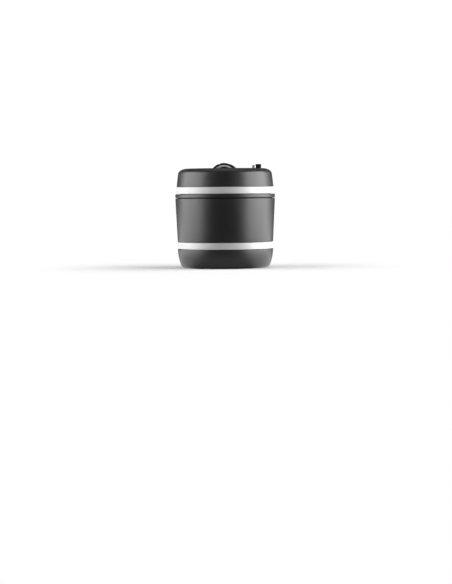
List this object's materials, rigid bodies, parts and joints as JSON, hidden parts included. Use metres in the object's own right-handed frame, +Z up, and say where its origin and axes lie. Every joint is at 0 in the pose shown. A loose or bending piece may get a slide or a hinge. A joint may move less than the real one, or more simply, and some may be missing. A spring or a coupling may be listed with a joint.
{
  "type": "wine bottle lock",
  "caption": "Squat round bottle-neck lock with a twist head, number dials, a thumb slider and a reset pin on top, silver trim rings and gripping jaws inside.",
  "frame": {"origin": "on the axis of the neck opening, in the plane of the underside", "axes": "+Z up along the bottle's axis, -Y to the front, where the first dial faces"},
  "size_m": [0.048, 0.048, 0.0499],
  "materials": {
    "black_plastic": "fine matte",
    "gloss_black": "semi gloss",
    "inner_black": "matte",
    "acetal": "waxy satin",
    "satin_silver": "satin",
    "chrome": "polished",
    "steel": "stamped, brushed",
    "screw_steel": "zinc plated",
    "spring_steel": "drawn wire",
    "brass": "turned",
    "rubber": "soft matte",
    "silicone": "soft matte"
  },
  "bodies": {
    "body": {"base_ring": "black_plastic", "lower_trim_ring": "satin_silver", "body_shell": "black_plastic", "jaw_guide": "acetal", "keeper_ring": "steel", "base_screw_1": "screw_steel", "base_screw_2": "screw_steel", "base_screw_3": "screw_steel"},
    "head": {"cam_sleeve": "acetal", "sleeve_screw_1": "screw_steel", "sleeve_screw_2": "screw_steel", "sleeve_screw_3": "screw_steel", "seal_spring": "spring_steel", "head_base": "black_plastic", "upper_trim_ring": "satin_silver", "top_cover": "black_plastic", "cover_screw_1": "screw_steel", "cover_screw_2": "screw_steel", "cover_screw_3": "screw_steel", "lock_frame": "steel", "detent_spring": "spring_steel", "wheel_shaft": "steel", "shaft_clip_front": "spring_steel", "shaft_clip_rear": "spring_steel", "reset_spring": "spring_steel"},
    "seal": {"seal_disc": "silicone", "pressure_plate": "inner_black"},
    "slider": {"release_slider": "gloss_black", "lock_bolt": "steel", "bolt_screw": "screw_steel"},
    "reset_button": {"reset_pin": "chrome"},
    "jaw_1_body": {"jaw_1": "steel", "jaw_pad_1": "rubber"},
    "dial_1": {"number_wheel_1": "gloss_black", "wheel_face_1": "satin_silver", "code_sleeve_1": "brass"},
    "jaw_2_body": {"jaw_2": "steel", "jaw_pad_2": "rubber"},
    "dial_2": {"number_wheel_2": "gloss_black", "wheel_face_2": "satin_silver", "code_sleeve_2": "brass"},
    "jaw_3_body": {"jaw_3": "steel", "jaw_pad_3": "rubber"},
    "dial_3": {"number_wheel_3": "gloss_black", "wheel_face_3": "satin_silver", "code_sleeve_3": "brass"}
  },
  "joints": [
    {"name": "head_turn", "type": "hinge", "parent": "body", "child": "head", "pos_m": [0, 0, 0.0343], "axis": [0, 0, 1], "range_deg": [0, 60]},
    {"name": "jaw_1_slide", "type": "slide", "parent": "body", "child": "jaw_1_body", "axis": [0.866, 0.5, 0], "range_m": [0, 0.0019]},
    {"name": "jaw_2_slide", "type": "slide", "parent": "body", "child": "jaw_2_body", "axis": [-0.866, 0.5, 0], "range_m": [0, 0.0019]},
    {"name": "jaw_3_slide", "type": "slide", "parent": "body", "child": "jaw_3_body", "axis": [0, -1, 0], "range_m": [0, 0.0019]},
    {"name": "seal_float", "type": "slide", "parent": "head", "child": "seal", "axis": [0, 0, 1], "range_m": [0, 0.0015], "stiffness_N_per_m": 600, "springref_m": -0.001, "deforming": ["seal_spring"]},
    {"name": "dial_1_turn", "type": "hinge", "parent": "head", "child": "dial_1", "pos_m": [0, -0.0074, 0.04297], "axis": [0, 1, 0], "continuous": true},
    {"name": "dial_2_turn", "type": "hinge", "parent": "head", "child": "dial_2", "pos_m": [0, -0.001, 0.04297], "axis": [0, 1, 0], "continuous": true},
    {"name": "dial_3_turn", "type": "hinge", "parent": "head", "child": "dial_3", "pos_m": [0, 0.0054, 0.04297], "axis": [0, 1, 0], "continuous": true},
    {"name": "slider_slide", "type": "slide", "parent": "head", "child": "slider", "axis": [0, 1, 0], "range_m": [0, 0.0017]},
    {"name": "reset_press", "type": "slide", "parent": "head", "child": "reset_button", "axis": [0, 0, -1], "range_m": [0, 0.0012], "stiffness_N_per_m": 400, "springref_m": -0.001, "deforming": ["reset_spring"]}
  ],
  "couplings": [
    {"joint": "jaw_1_slide", "follows": "head_turn", "m_per_rad": 0.0018143},
    {"joint": "jaw_2_slide", "follows": "head_turn", "m_per_rad": 0.0018143},
    {"joint": "jaw_3_slide", "follows": "head_turn", "m_per_rad": 0.0018143}
  ]
}
